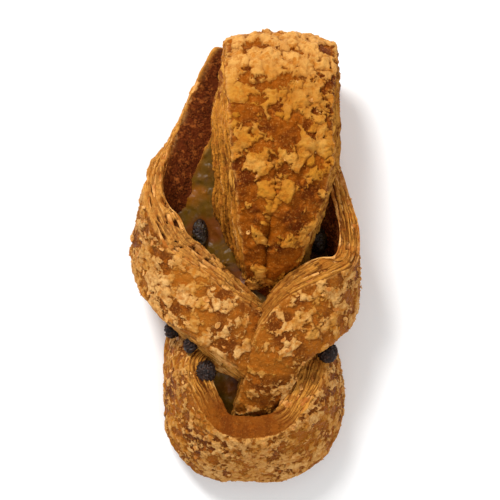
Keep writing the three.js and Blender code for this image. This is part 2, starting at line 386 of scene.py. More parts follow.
def relief_tree():
    """Bakes a smooth strip rough: flakes lift off the crust, leaves and pores open on the cuts."""
    inputs = [("Geometry", "Geometry"), *((label, "Float") for label in RELIEF_INPUTS)]
    inputs.append(("Finish", "Material"))
    tree = new_tree("baked_relief", "GeometryNodeTree", inputs, [("Geometry", "Geometry")])
    w = Wiring(tree)
    given = w.add("NodeGroupInput").outputs

    def field(name, kind="FLOAT"):
        node = w.add("GeometryNodeInputNamedAttribute", {"Name": name}, data_type=kind)
        return node.outputs[0]

    rest = field("rest", "FLOAT_VECTOR")
    seed = given["Seed"]
    flake, puff, plate, crack = flaking(w, rest, given["Flake Size"], field("cover"), seed)
    leaf = given["Leaf Pitch"], given["Leaf Run"]
    pore, reach, lines = layering(w, field("along"), field("down"), *leaf, seed)
    crumple = w.noise(rest, 0.45, 4.0, 0.65)
    lifted = w.total(0.1, w.times(plate, 0.4), w.times(puff, 0.2), w.times(crumple, 0.8))
    lifted = w.times(flake, lifted, w.math("MULTIPLY_ADD", crack, -0.6, 1.0))
    blister = w.ramp(w.noise(rest, 0.22, 3.0), 0.42, 0.72)
    lifted = w.total(lifted, w.times(blister, 0.8))
    crust_rise = w.times(lifted, given["Flake Lift"], field("crust"))
    leaf_rise = w.total(
        w.times(pore, field("open"), -1.6),
        w.times(w.math("SUBTRACT", reach, 0.5), 0.5),
        w.times(w.math("SUBTRACT", lines, 0.5), w.math("MULTIPLY_ADD", field("open"), -1.8, 3.9)),
    )
    whole_side = w.math("SUBTRACT", 1.0, field("sealed"))
    leaf_rise = w.times(leaf_rise, given["Leaf Depth"], field("cut"), whole_side)
    rough = w.times(w.math("SUBTRACT", w.noise(rest, 0.75, 3.0), 0.5), field("under"), 1.2)
    lump = w.times(w.math("SUBTRACT", w.noise(rest, 0.07, 2.0), 0.5), given["Lumps"])
    grain = w.times(w.math("SUBTRACT", w.noise(rest, 0.9, 4.0, 0.6), 0.5), 0.7)
    rise = w.total(crust_rise, leaf_rise, rough, lump, grain)
    off_tray = w.math("SUBTRACT", 1.0, field("flat"))
    normal = w.add("GeometryNodeInputNormal").outputs[0]
    offset = w.stretch(normal, w.times(rise, off_tray, MM))
    moved = w.add("GeometryNodeSetPosition", {"Geometry": given["Geometry"], "Offset": offset})
    position = w.add("GeometryNodeInputPosition").outputs[0]
    place = w.add("ShaderNodeSeparateXYZ", {0: position}).outputs
    above = w.vector(place[0], place[1], w.math("MAXIMUM", place[2], given["Floor"]))
    laid = w.add("GeometryNodeSetPosition", {"Geometry": moved.outputs[0], "Position": above})
    coat = {"Geometry": laid.outputs[0], "Material": given["Finish"]}
    painted = w.add("GeometryNodeSetMaterial", coat)
    whole = w.add("GeometryNodeRealizeInstances", {"Geometry": painted.outputs[0]})
    w.tree.links.new(whole.outputs[0], w.add("NodeGroupOutput").inputs[0])
    return tree


RELIEF = relief_tree()


def paint(*levels):
    """A colour given as 0 to 255 display levels, as the linear colour that a shader takes."""
    shares = np.array(levels) / 255
    linear = np.where(shares <= 0.04045, shares / 12.92, ((shares + 0.055) / 1.055) ** 2.4)
    return (*linear, 1.0)


def dough_group():
    """Egg-washed crust, layered cut sides, dark inner face and tray-baked underside, with painted
    shade in the crust's hollows, plate edges and cracks, in the gaps and pores of the cut sides
    and on their baked-shut parts.
    """
    labels = "Flake Size", "Leaf Pitch", "Leaf Run", "Browning", "Seed"
    results = [("Colour", "Color"), ("Height", "Float"), ("Roughness", "Float")]
    tree = new_tree("baked_dough", "ShaderNodeTree", [(n, "Float") for n in labels], results)
    w = Wiring(tree)
    given = w.add("NodeGroupInput").outputs
    seed, browning = given["Seed"], given["Browning"]

    def field(label, output="Fac"):
        return w.add("ShaderNodeAttribute", attribute_name=label).outputs[output]

    rest = field("rest", "Vector")
    flake, puff, plate, crack = flaking(w, rest, given["Flake Size"], field("cover"), seed)
    leaf = given["Leaf Pitch"], given["Leaf Run"]
    pore, _, lines = layering(w, field("along"), field("down"), *leaf, seed)
    tone = w.noise(rest, 0.085, 4.0, 0.6)
    speck = w.noise(rest, 1.5, 4.0, 0.7)
    stain = w.noise(rest, 0.33, 4.0, 0.65)
    crumple = w.noise(rest, 0.45, 4.0, 0.65)
    deep = w.blend(w.ramp(tone, 0.38, 0.6), paint(84, 28, 2), paint(138, 66, 4))
    light = w.blend(w.ramp(tone, 0.38, 0.6), paint(110, 54, 14), paint(162, 94, 26))
    ground = w.blend(browning, light, deep)
    ground = w.blend(w.ramp(stain, 0.5, 0.68), ground, paint(160, 84, 18))
    ground = w.blend(w.ramp(speck, 0.52, 0.72, 0.0, 0.6), ground, paint(204, 138, 62))
    deep = w.blend(plate, paint(170, 102, 16), paint(198, 137, 50))
    light = w.blend(plate, paint(206, 147, 74), paint(230, 181, 114))
    leaf = w.blend(browning, light, deep)
    leaf = w.blend(w.ramp(tone, 0.42, 0.6, 0.0, 0.7), leaf, paint(184, 118, 26))
    leaf = w.blend(w.ramp(field("cover"), 0.6, 0.78, 0.0, 0.6), leaf, paint(222, 166, 94))
    leaf = w.blend(w.ramp(stain, 0.5, 0.36, 0.0, 0.8), leaf, paint(184, 110, 30))
    # painted shade: the leaf is darker where the crumple noise is low, the same noise that lowers
    # the surface in the bump
    leaf = w.blend(w.ramp(crumple, 0.5, 0.36, 0.0, 0.6), leaf, paint(166, 94, 18))
    leaf = w.blend(w.ramp(speck, 0.42, 0.28, 0.0, 0.7), leaf, paint(152, 84, 28))
    # painted shade: the leaf darkens towards the edges of its plate, where the plates sit lower
    leaf = w.blend(w.ramp(puff, 0.6, 0.0, 0.0, 0.3), leaf, paint(160, 90, 24))
    # cracks painted darker: partly the browner crust inside them, partly painted shade
    leaf = w.blend(w.times(crack, 0.7), leaf, paint(104, 48, 10))
    crust = w.blend(flake, ground, leaf)
    rim = w.times(field("crust"), field("cut"), 3.2)
    crust = w.blend(w.times(rim, w.ramp(stain, 0.4, 0.6)), crust, paint(214, 152, 76))
    # painted shade: the cut side's leaf lines go dark in the grooves between the leaves, gold on
    # the leaves themselves
    line = w.ramp(lines, 0.36, 0.6)
    deep = w.blend(line, paint(72, 30, 4), paint(192, 120, 34))
    layers = w.blend(browning, w.blend(line, paint(104, 48, 8), paint(212, 146, 62)), deep)
    layers = w.blend(w.ramp(lines, 0.6, 0.72, 0.0, 0.7), layers, paint(234, 182, 112))
    layers = w.blend(w.ramp(field("open"), 0.6, 1.2, 0.0, 0.35), layers, paint(214, 150, 76))
    layers = w.blend(w.ramp(stain, 0.5, 0.38, 0.0, 0.6), layers, paint(160, 88, 28))
    # painted shade: open pores on the cut side are painted dark brown
    layers = w.blend(w.times(pore, field("open")), layers, paint(88, 42, 16))
    layers = w.blend(w.ramp(tone, 0.5, 0.66, 0.0, 0.5), layers, paint(174, 102, 30))
    # where the cut side baked shut it takes the ground's brown, half mixed with a darker brown
    # that is painted shade
    layers = w.blend(field("sealed"), layers, w.blend(0.5, ground, paint(120, 58, 14)))
    inner = w.blend(w.ramp(speck, 0.45, 0.66), paint(62, 22, 8), paint(132, 66, 26))
    inner = w.blend(w.ramp(stain, 0.42, 0.6, 0.0, 0.7), inner, paint(94, 38, 14))
    inner = w.blend(w.ramp(crumple, 0.52, 0.66, 0.0, 0.7), inner, paint(160, 88, 36))
    ragged = w.math("MULTIPLY_ADD", w.math("SUBTRACT", stain, 0.5), 2.0, field("cut"))
    colour = w.blend(w.ramp(ragged, 0.35, 0.65), crust, layers)
    colour = w.blend(field("under"), colour, inner)
    tray = w.blend(w.ramp(speck, 0.4, 0.66), paint(150, 92, 42), paint(196, 138, 76))
    colour = w.blend(field("flat"), colour, tray)
    leaf_lines = w.times(lines, field("cut"), 0.6)
    height = w.total(w.times(speck, 0.5), w.times(crumple, 1.2), w.times(flake, 0.3), leaf_lines)
    done = w.add("NodeGroupOutput").inputs
    w.feed(done["Colour"], colour)
    w.feed(done["Height"], height)
    w.feed(done["Roughness"], w.math("MULTIPLY_ADD", flake, 0.12, 0.52))
    return tree


BAKED_DOUGH = dough_group()


def baked_material(name, values):
    """Baked dough with a strip's own flake size, leaf pitch and browning."""
    material, w, shader = new_material(name)
    dough = w.add("ShaderNodeGroup", values, node_tree=BAKED_DOUGH).outputs
    w.feed(shader["Base Color"], dough["Colour"])
    w.feed(shader["Roughness"], dough["Roughness"])
    w.feed(shader["Specular IOR Level"], 0.08)
    w.feed(shader["Specular Tint"], paint(255, 206, 140))
    relief = {"Height": dough["Height"], "Strength": 0.8, "Distance": 0.0009}
    w.feed(shader["Normal"], w.add("ShaderNodeBump", relief).outputs[0])
    return material


def bake(piece, material, settings):
    """Bakes a strip's surface rough and books it as a piece of the dough."""
    run_tree(piece, RELIEF, {**settings, "Finish": material})
    piece.data.shade_smooth()
    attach(piece, "root")
    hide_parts("braided_dough")


side_pores = [(0, 0.15, 0), (0.6, 0.3, 0)]
tongue = sweep_strip(
    "tongue", TONGUE, 0.34, (112, 72, 40), 0.2, side_pores, peak=8.5, fall=3.2
)
CREASE_AT, CREASE_DEPTH, CREASE_WIDTH = -2.5, 2.8, 1.0  # across the crust, and half its width
CREASE_RUN = (44, 60, 84, 100)  # along the tongue: start, full depth, full depth, end
spots = {label: np.empty(len(tongue.data.vertices)) for label in ("across", "along", "crust")}
for label, values in spots.items():
    tongue.data.attributes[label].data.foreach_get("value", values)
depth = np.interp(spots["along"], CREASE_RUN, (0, 1, 1, 0)) * CREASE_DEPTH * spots["crust"]
depth *= np.exp(-(((spots["across"] - CREASE_AT) / CREASE_WIDTH) ** 2))
for vertex, sunk in zip(tongue.data.vertices, depth):
    vertex.co.z -= sunk * MM
baking = {"Flake Size": 4.6, "Leaf Pitch": 1.15, "Leaf Run": 20.0, "Seed": 3.0}
tongue_crust = baked_material("tongue_crust", {**baking, "Browning": 0.85})
bake(tongue, tongue_crust, {**baking, "Flake Lift": 1.25, "Leaf Depth": 1.0, "Lumps": 3.0})

# ---------------------------------------------------------------------------------------
# Left strip
# The second strip comes from behind the tongue with its dark inner face up, twists onto its
# edge at the left bend, where the cut side opens in pores, and crosses to the right.
# ---------------------------------------------------------------------------------------
LEFT_STRIP = [
    (0.03, 0.86, 0.2, -0.1, 0, -1, 26, 10, 0.1, 0.5),
    (-0.1, 0.74, 0.22, -0.15, 0, -0.98, 27, 10, 0.1, 0.5),
    (-0.21, 0.62, 0.24, -0.18, 0, -0.98, 27, 10, 0.1, 0.5),
    (-0.315, 0.5, 0.26, -0.25, 0, -0.97, 27, 10, 0.1, 0.5),
    (-0.455, 0.365, 0.32, -0.42, 0, -0.9, 27.5, 10, 0.1, 0.5),
    (-0.62, 0.27, 0.37, -0.76, 0, -0.65, 28, 10, 0.1, 0.5),
    (-0.795, 0.175, 0.41, -0.98, 0, 0.12, 28, 10, 0.1, 0.5),
    (-0.785, 0.07, 0.455, -0.93, -0.1, 0.34, 28, 10.5, 0.1, 0.5),
    (-0.73, -0.03, 0.48, -0.66, -0.45, 0.6, 25, 11, 0.2, 0.66),
    (-0.575, -0.14, 0.54, -0.28, -0.28, 0.92, 22.5, 13, 0.32, 0.68),
    (-0.34, -0.245, 0.585, -0.08, -0.1, 1, 21, 14, 0.38, 0.52),
    (-0.085, -0.35, 0.565, 0.08, -0.02, 1, 21, 14, 0.38, 0.45),
    (0.195, -0.455, 0.435, 0.3, -0.1, 0.95, 22, 13, 0.2, 0.4),
    (0.415, -0.55, 0.3, 0.3, -0.15, 0.94, 22, 12, 0.1, 0.4),
    (0.56, -0.66, 0.22, 0.2, -0.2, 0.95, 20, 11, 0.1, 0.4),
]
bend_pores = [(0.3, 0.4, 0), (0.42, 1.3, 0), (0.6, 1.1, 0), (0.75, 0.6, 0)]
left_strip = sweep_strip("left_strip", LEFT_STRIP, 0.41, (84, 50, 50), 0.25, bend_pores)
baking = {"Flake Size": 3.0, "Leaf Pitch": 1.1, "Leaf Run": 12.0, "Seed": 11.0}
left_crust = baked_material("left_crust", {**baking, "Browning": 0.1})
bake(left_strip, left_crust, {**baking, "Flake Lift": 0.6, "Leaf Depth": 1.0, "Lumps": 2.4})

# ---------------------------------------------------------------------------------------
# Right strip
# The third strip mirrors the left one, crosses over it and dives, narrowing, into the foot.
# ---------------------------------------------------------------------------------------
RIGHT_STRIP = [
    (0.46, 0.85, 0.2, 0.1, 0, -1, 22, 10, 0.1, 0.5),
    (0.45, 0.65, 0.24, 0.15, 0, -0.98, 24, 10, 0.1, 0.5),
    (0.42, 0.475, 0.26, 0.25, 0, -0.97, 26, 9, 0.1, 0.5),
    (0.48, 0.34, 0.33, 0.5, 0, -0.86, 26, 7.5, 0.05, 0.5),
    (0.62, 0.22, 0.4, 0.82, 0, -0.55, 26, 6, 0, 0.5),
    (0.75, 0.075, 0.445, 0.92, 0, -0.36, 26, 6, 0, 0.5),
    (0.82, -0.075, 0.48, 0.93, -0.2, 0.1, 26, 8.5, 0.1, 0.5),
    (0.68, -0.18, 0.545, 0.58, -0.42, 0.7, 26, 12, 0.1, 0.5),
    (0.475, -0.27, 0.61, 0.25, -0.25, 0.93, 25, 14, 0.1, 0.5),
    (0.28, -0.37, 0.62, 0.02, -0.2, 0.98, 21, 15, 0.1, 0.48),
    (0.195, -0.475, 0.53, -0.05, -0.5, 0.86, 18, 15, 0.1, 0.44),
    (0.12, -0.59, 0.39, 0, -0.6, 0.8, 17, 14, 0.1, 0.42),
    (0.06, -0.7, 0.27, 0, -0.4, 0.9, 17, 12, 0.1, 0.42),
    (0.035, -0.81, 0.2, 0, -0.2, 0.98, 17, 10, 0.1, 0.42),
]
bend_pores = [(0.3, 0.4, 0), (0.5, 0.8, 0), (0.7, 0.5, 0.3)]
right_strip = sweep_strip("right_strip", RIGHT_STRIP, 0.4, (84, 46, 50), 0.3, bend_pores)
baking = {"Flake Size": 2.8, "Leaf Pitch": 1.1, "Leaf Run": 12.0, "Seed": 23.0}
right_crust = baked_material("right_crust", {**baking, "Browning": 0.3})
bake(right_strip, right_crust, {**baking, "Flake Lift": 0.6, "Leaf Depth": 1.0, "Lumps": 2.4})

# ---------------------------------------------------------------------------------------
# Foot loop
# The first strip again, where it comes out from under the left one: on its side at the left
# edge, round the foot with its crust outwards, and up to the right. Finely flaked all over.
# ---------------------------------------------------------------------------------------
FOOT_LOOP = [
    (0.05, -0.18, 0.25, -0.1, -0.2, 0.97, 19, 13, 0.1, 0.5),
    (-0.29, -0.29, 0.22, -0.35, -0.1, 0.93, 21, 12, 0.1, 0.5),
    (-0.52, -0.375, 0.27, -0.85, 0.1, 0.5, 22, 8, 0.1, 0.5),
    (-0.58, -0.475, 0.32, -1, -0.05, 0.1, 27, 8, 0.1, 0.5),
    (-0.54, -0.59, 0.335, -0.93, -0.22, 0.3, 28, 9, 0.1, 0.5),
    (-0.46, -0.715, 0.35, -0.66, -0.5, 0.55, 28, 10, 0.1, 0.55),
    (-0.355, -0.84, 0.37, -0.38, -0.72, 0.57, 28, 9.5, 0.1, 0.65),
    (-0.14, -0.86, 0.38, -0.05, -0.82, 0.57, 28, 9.5, 0.1, 0.7),
    (0.17, -0.86, 0.38, 0.05, -0.82, 0.57, 28, 9.5, 0.1, 0.7),
    (0.38, -0.835, 0.37, 0.4, -0.72, 0.57, 28, 9.5, 0.1, 0.65),
    (0.53, -0.715, 0.35, 0.68, -0.5, 0.55, 28, 10.5, 0.1, 0.55),
    (0.62, -0.58, 0.34, 0.95, -0.2, 0.25, 28, 11, 0.1, 0.5),
    (0.64, -0.475, 0.27, 1, 0, 0.1, 25, 10, 0.1, 0.5),
    (0.6, -0.37, 0.17, 0.9, 0.1, 0.3, 20, 9, 0.1, 0.5),
]
foot_seal = [(0.34, 0.5, 0), (0.42, 0.4, 1), (0.68, 0.4, 1), (0.77, 0.5, 0)]
foot_loop = sweep_strip("foot_loop", FOOT_LOOP, 0.38, (84, 46, 50), 0.15, foot_seal, ease=(3, 9))
baking = {"Flake Size": 1.9, "Leaf Pitch": 1.1, "Leaf Run": 18.0, "Seed": 37.0}
foot_crust = baked_material("foot_crust", {**baking, "Browning": 0.2})
bake(foot_loop, foot_crust, {**baking, "Flake Lift": 0.5, "Leaf Depth": 1.0, "Lumps": 2.4})

# ---------------------------------------------------------------------------------------
# Custard bed
# Baked custard and the dough it soaked into, spread down the middle under the braid. It
# shows, glossy and olive to amber, in the valleys beside the tongue and in the foot. Its
# flat underside, browned on the tray, is what the loaf lies on.
# ---------------------------------------------------------------------------------------
BED = [
    (0.22, 0.85, 0.17, 0, 0, 1, 26, 17.6, 0.1, 0),
    (0.22, 0.7, 0.254, 0, 0, 1, 36, 26, 0.1, 0),
    (0.14, 0.45, 0.23, 0, 0, 1, 40, 24, 0.1, 0),
    (0.04, 0.22, 0.194, 0, 0, 1, 52, 20, 0.1, 0),
    (-0.02, 0, 0.165, 0, 0, 1, 58, 17.4, 0.1, 0),
    (-0.02, -0.25, 0.17, 0, 0, 1, 52, 18, 0.1, 0),
    (0, -0.5, 0.17, 0, 0, 1, 46, 18, 0.1, 0),
    (0.03, -0.76, 0.15, 0, 0, 1, 40, 14, 0.1, 0),
]
BED_BAKING = {"Flake Size": 3.0, "Leaf Pitch": 1.2, "Leaf Run": 15.0, "Seed": 41.0}
RAISIN_NODES = [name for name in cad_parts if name.startswith("raisin")]


def custard_material():
    """Glossy custard where the bed's top is wet, baked dough on its sides and underside."""
    material, w, shader = new_material("baked_custard")
    rest = w.add("ShaderNodeAttribute", attribute_name="rest").outputs["Vector"]
    patch = w.noise(rest, 0.06, 2.0, 0.5)
    speck = w.noise(rest, 0.9, 3.0, 0.6)
    colour = w.blend(w.ramp(patch, 0.36, 0.5), paint(98, 50, 12), paint(90, 61, 12))
    colour = w.blend(w.ramp(patch, 0.52, 0.7), colour, paint(146, 78, 12))
    colour = w.blend(w.ramp(speck, 0.58, 0.75, 0.0, 0.3), colour, paint(176, 118, 52))
    dough = w.add("ShaderNodeGroup", {**BED_BAKING, "Browning": 0.5}, node_tree=BAKED_DOUGH)
    wet = w.add("ShaderNodeAttribute", attribute_name="crust").outputs["Fac"]
    w.feed(shader["Base Color"], w.blend(wet, dough.outputs["Colour"], colour))
    w.feed(shader["Specular IOR Level"], 0.1)
    w.feed(shader["Roughness"], w.ramp(speck, 0.3, 0.7, 0.25, 0.4))
    bump = w.add("ShaderNodeBump", {"Height": speck, "Strength": 0.3, "Distance": 0.0005})
    w.feed(shader["Normal"], bump.outputs[0])
    return material


POCKET_SIZE = 1.25  # against the raisin's box
POCKET_RIM, POCKET_SLOPE = 1.6, 0.8  # where a pocket ends and how wide its slope is
POCKET_LEVEL = 0.4  # height of a pocket's floor, as a share of the raisin's
custard_bed = sweep_strip("custard_bed", BED, 0.6, (100, 30, 50), 0.0, [(0, 0, 0)])
for node_name in RAISIN_NODES:
    lowest, highest = (np.array(corner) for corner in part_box(node_name))
    middle, reach = (lowest + highest) / 2, (highest - lowest) / 2 * POCKET_SIZE
    for vertex in custard_bed.data.vertices:
        away = np.hypot(*((np.array(vertex.co) - middle) / reach)[:2])
        if away < POCKET_RIM and vertex.co.z > lowest[2]:
            sunk = lowest[2] + (highest[2] - lowest[2]) * POCKET_LEVEL
            share = min(max((POCKET_RIM - away) / POCKET_SLOPE, 0), 1) ** 2
            vertex.co.z += min(sunk - vertex.co.z, 0) * share
relief = {**BED_BAKING, "Flake Lift": 1.0, "Leaf Depth": 0.8, "Lumps": 3.0}
bake(custard_bed, custard_material(), relief)

# ---------------------------------------------------------------------------------------
# Raisins
# Whole raisins of the filling, wrinkled, nearly black and slightly sticky, held in the
# pockets that the dough baked round them.
# ---------------------------------------------------------------------------------------


def wrinkle_tree(finish):
    """Folds a smooth raisin's skin into furrows and remembers where they are."""
    inputs = [("Geometry", "Geometry"), ("Wrinkle Depth", "Float")]
    tree = new_tree("raisin_wrinkles", "GeometryNodeTree", inputs, [("Geometry", "Geometry")])
    w = Wiring(tree)
    given = w.add("NodeGroupInput").outputs
    at = w.stretch(w.add("GeometryNodeInputPosition").outputs[0], 1 / MM)
    fold = w.math("ABSOLUTE", w.math("SUBTRACT", w.noise(at, 0.38, 2.0, 0.5, 1.2), 0.5))
    furrow = w.ramp(fold, 0.1, 0.0)
    depth = w.times(furrow, given["Wrinkle Depth"], -MM)
    offset = w.stretch(w.add("GeometryNodeInputNormal").outputs[0], depth)
    moved = w.add("GeometryNodeSetPosition", {"Geometry": given["Geometry"], "Offset": offset})
    store = {"Geometry": moved.outputs[0], "Name": "furrow", "Value": furrow}
    kept = w.add("GeometryNodeStoreNamedAttribute", store)
    painted = w.add("GeometryNodeSetMaterial", {"Geometry": kept.outputs[0], "Material": finish})
    whole = w.add("GeometryNodeRealizeInstances", {"Geometry": painted.outputs[0]})
    w.tree.links.new(whole.outputs[0], w.add("NodeGroupOutput").inputs[0])
    return tree


def raisin_material():
    """Dark skin with a dull bloom and painted shade in the furrows, smeared with custard in the
    valleys.
    """
    material, w, shader = new_material("raisin_skin")
    place = w.add("ShaderNodeTexCoord").outputs["Object"]
    at = w.stretch(place, 1 / MM)
    furrow = w.add("ShaderNodeAttribute", attribute_name="furrow").outputs["Fac"]
    bloom = w.noise(at, 0.8, 3.0, 0.6)
    colour = w.blend(w.ramp(bloom, 0.4, 0.7), paint(38, 24, 18), paint(66, 42, 31))
    # painted shade: the skin is painted near-black along the furrows
    colour = w.blend(furrow, colour, paint(22, 14, 12))
    film = w.add("ShaderNodeAttribute", attribute_name="film").outputs["Fac"]
    smear = w.ramp(w.noise(at, 0.22, 2.0), 0.4, 0.6)
    colour = w.blend(w.times(film, smear), colour, paint(60, 44, 14))
    w.feed(shader["Base Color"], colour)
    w.feed(shader["Specular IOR Level"], 0.24)
    w.feed(shader["Roughness"], w.ramp(bloom, 0.3, 0.7, 0.35, 0.55))
    bump = w.add("ShaderNodeBump", {"Height": bloom, "Strength": 0.25, "Distance": 0.0003})
    w.feed(shader["Normal"], bump.outputs[0])
    return material


raisin_skin = raisin_material()
WRINKLES = wrinkle_tree(raisin_skin)
LEFT_SCALE, RIGHT_SCALE = 0.9, 1.02  # against the raisin's box
VALLEY_FILM = 0.8  # share of custard smeared over a raisin that lies in a valley
for node_name in RAISIN_NODES:
    lowest, highest = (np.array(corner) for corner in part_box(node_name))
    bpy.ops.mesh.primitive_ico_sphere_add(subdivisions=5, radius=1.0)
    raisin = bpy.context.object
    raisin.name = node_name.replace("raisin", "wrinkled_raisin")
    size = (highest - lowest) / 2 * (LEFT_SCALE if "left" in node_name else RIGHT_SCALE)
    middle = (highest + lowest) / 2
    for vertex in raisin.data.vertices:
        vertex.co = Vector(middle + np.array(vertex.co) * size)
    run_tree(raisin, WRINKLES, {"Wrinkle Depth": 0.8})
    raisin.data.shade_smooth()
    film = raisin.data.attributes.new("film", "FLOAT", "POINT")
    smeared = VALLEY_FILM * ("valley" in node_name)
    film.data.foreach_set("value", [smeared] * len(raisin.data.vertices))
    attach(raisin, "root")
    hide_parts(node_name)

# ---------------------------------------------------------------------------------------
# Peeling leaves
# The knife left the edges of the dough's leaves open on both sides of every strip. In the
# oven they dried and lifted apart: long thin golden ribbons with dark gaps between them.
# ---------------------------------------------------------------------------------------
SEALED_SINK = 3.0  # how deep the ribbons are buried where the cut side baked shut
LOWEST_RIBBON = 0.8  # least height of a ribbon's middle above the table
RIBBON_THICKNESS = 0.22


def leaf_tree():
    """Copies an edge line down its cut side and makes each copy a thin wandering ribbon."""
    labels = "Reach", "Width", "Thickness", "Seed"
    inputs = [("Geometry", "Geometry"), *((label, "Float") for label in labels)]
    inputs += [("Leaves", "Int"), ("Finish", "Material")]
    tree = new_tree("peeling_leaves", "GeometryNodeTree", inputs, [("Geometry", "Geometry")])
    w = Wiring(tree)
    given = w.add("NodeGroupInput").outputs

    def field(name, kind="FLOAT"):
        node = w.add("GeometryNodeInputNamedAttribute", {"Name": name}, data_type=kind)
        return node.outputs[0]

    line = w.add("GeometryNodeMeshToCurve", {"Mesh": given["Geometry"]}).outputs[0]
    copies = w.add(
        "GeometryNodeDuplicateElements",
        {"Geometry": line, "Amount": given["Leaves"]},
        domain="SPLINE",
    ).outputs
    kept = w.add(
        "GeometryNodeStoreNamedAttribute",
        {"Geometry": copies[0], "Name": "leaf", "Value": copies[1]},
        domain="POINT",
    ).outputs[0]
    leaf = field("leaf")
    run = w.times(w.add("GeometryNodeSplineParameter").outputs["Length"], 1 / MM)
    row = w.vector(w.times(run, 0.045), w.times(leaf, 3.7), given["Seed"])
    drift = w.math("SUBTRACT", w.noise(row, 1.0, 2.0), 0.5)
    part = w.math("ADD", w.math("ADD", leaf, 0.5), w.times(drift, 2.2))
    share = w.math("DIVIDE", part, given["Leaves"])
    far = w.vector(w.times(run, 0.07), w.times(leaf, 5.3), w.math("ADD", given["Seed"], 9.0))
    out = w.times(w.math("SUBTRACT", w.noise(far, 1.0, 3.0), 0.52), given["Reach"], 5.0)
    out = w.math("SUBTRACT", w.math("MINIMUM", out, given["Reach"]), w.times(given["Width"], 0.5))
    out = w.math("SUBTRACT", out, w.times(field("sealed"), SEALED_SINK))
    lowered = w.stretch(field("below", "FLOAT_VECTOR"), share)
    pushed = w.stretch(field("outward", "FLOAT_VECTOR"), w.times(out, MM))
    moved = w.add(
        "GeometryNodeSetPosition", {"Geometry": kept, "Offset": w.shift(lowered, pushed)}
    ).outputs[0]
    position = w.add("GeometryNodeInputPosition").outputs[0]
    place = w.add("ShaderNodeSeparateXYZ", {0: position}).outputs
    above = w.vector(place[0], place[1], w.math("MAXIMUM", place[2], LOWEST_RIBBON * MM))
    laid = w.add("GeometryNodeSetPosition", {"Geometry": moved, "Position": above}).outputs[0]
    level = w.add("GeometryNodeSetCurveNormal", {"Curve": laid})
    level.mode = "Z_UP"
    section = w.add(
        "GeometryNodeCurvePrimitiveQuadrilateral",
        {"Width": w.times(given["Width"], MM), "Height": w.times(given["Thickness"], MM)},
    ).outputs[0]
    ribbon = w.add(
        "GeometryNodeCurveToMesh",
        {"Curve": level.outputs[0], "Profile Curve": section, "Fill Caps": True},
    ).outputs[0]
    whole = w.add("GeometryNodeRealizeInstances", {"Geometry": ribbon}).outputs[0]
    last = w.add("GeometryNodeSetMaterial", {"Geometry": whole, "Material": given["Finish"]})
    w.tree.links.new(last.outputs[0], w.add("NodeGroupOutput").inputs[0])
    return tree


def crisp_group():
    """Dry thin dough: gold with browner patches and specks."""
    inputs = [("Brown", "Color"), ("Gold", "Color")]
    results = [("Colour", "Color"), ("Roughness", "Float")]
    tree = new_tree("crisp_dough", "ShaderNodeTree", inputs, results)
    w = Wiring(tree)
    given = w.add("NodeGroupInput").outputs
    at = w.stretch(w.add("ShaderNodeTexCoord").outputs["Object"], 1 / MM)
    mottle = w.noise(at, 0.25, 3.0, 0.6)
    speck = w.noise(at, 1.4, 3.0, 0.6)
    colour = w.blend(w.ramp(mottle, 0.36, 0.62), given["Brown"], given["Gold"])
    colour = w.blend(w.ramp(speck, 0.52, 0.7, 0.0, 0.6), colour, given["Brown"])
    done = w.add("NodeGroupOutput").inputs
    w.feed(done["Colour"], colour)
    w.feed(done["Roughness"], w.ramp(speck, 0.3, 0.7, 0.45, 0.7))
    return tree


CRISP_DOUGH = crisp_group()


def crisp_material(name, brown, gold):
    """Crisp dough in two tones of a leaf's or a shard's own."""
    material, w, shader = new_material(name)
    tones = {"Brown": brown, "Gold": gold}
    dough = w.add("ShaderNodeGroup", tones, node_tree=CRISP_DOUGH).outputs
    w.feed(shader["Base Color"], dough["Colour"])
    w.feed(shader["Roughness"], dough["Roughness"])
    w.feed(shader["Specular IOR Level"], 0.12)
    return material


crisp_leaf = crisp_material("crisp_leaf", paint(172, 98, 30), paint(228, 168, 92))
dark_leaf = crisp_material("dark_leaf", paint(118, 58, 8), paint(208, 144, 58))
PEELING_LEAVES = leaf_tree()
for edge_name, leaves, reach, width, seed in (
    ("tongue_left_edge", 12, 1.6, 2.6, 1.0),
    ("tongue_right_edge", 12, 1.2, 2.4, 2.0),
    ("left_strip_left_edge", 8, 0.8, 2.0, 3.0),
    ("left_strip_right_edge", 4, 0.3, 1.6, 4.0),
    ("right_strip_left_edge", 8, 0.7, 2.0, 5.0),
    ("right_strip_right_edge", 8, 0.7, 2.0, 6.0),
    ("foot_loop_left_edge", 8, 0.6, 2.0, 7.0),
    ("foot_loop_right_edge", 8, 0.6, 2.0, 8.0),
):
    leaf = bpy.data.objects.new("leaves_" + edge_name, EDGE_PATHS[edge_name])
    bpy.context.scene.collection.objects.link(leaf)
    values = {"Leaves": leaves, "Reach": reach, "Width": width, "Seed": seed}
    finish = dark_leaf if "tongue" in edge_name else crisp_leaf
    run_tree(leaf, PEELING_LEAVES, {**values, "Thickness": RIBBON_THICKNESS, "Finish": finish})
    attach(leaf, "root")
    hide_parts("braided_dough")

# ---------------------------------------------------------------------------------------
# Loose flakes
# Shards of the top leaf that baked crisp and broke free: thin, curled, a millimetre or two
# across, lying almost flat on the crusts that they came from.
# ---------------------------------------------------------------------------------------
FULL_TURN = 6.283
TEAR = 1.6  # how far a shard's outline is torn
LEAST_FLAKE = 0.25  # smallest shard, as a share of the size


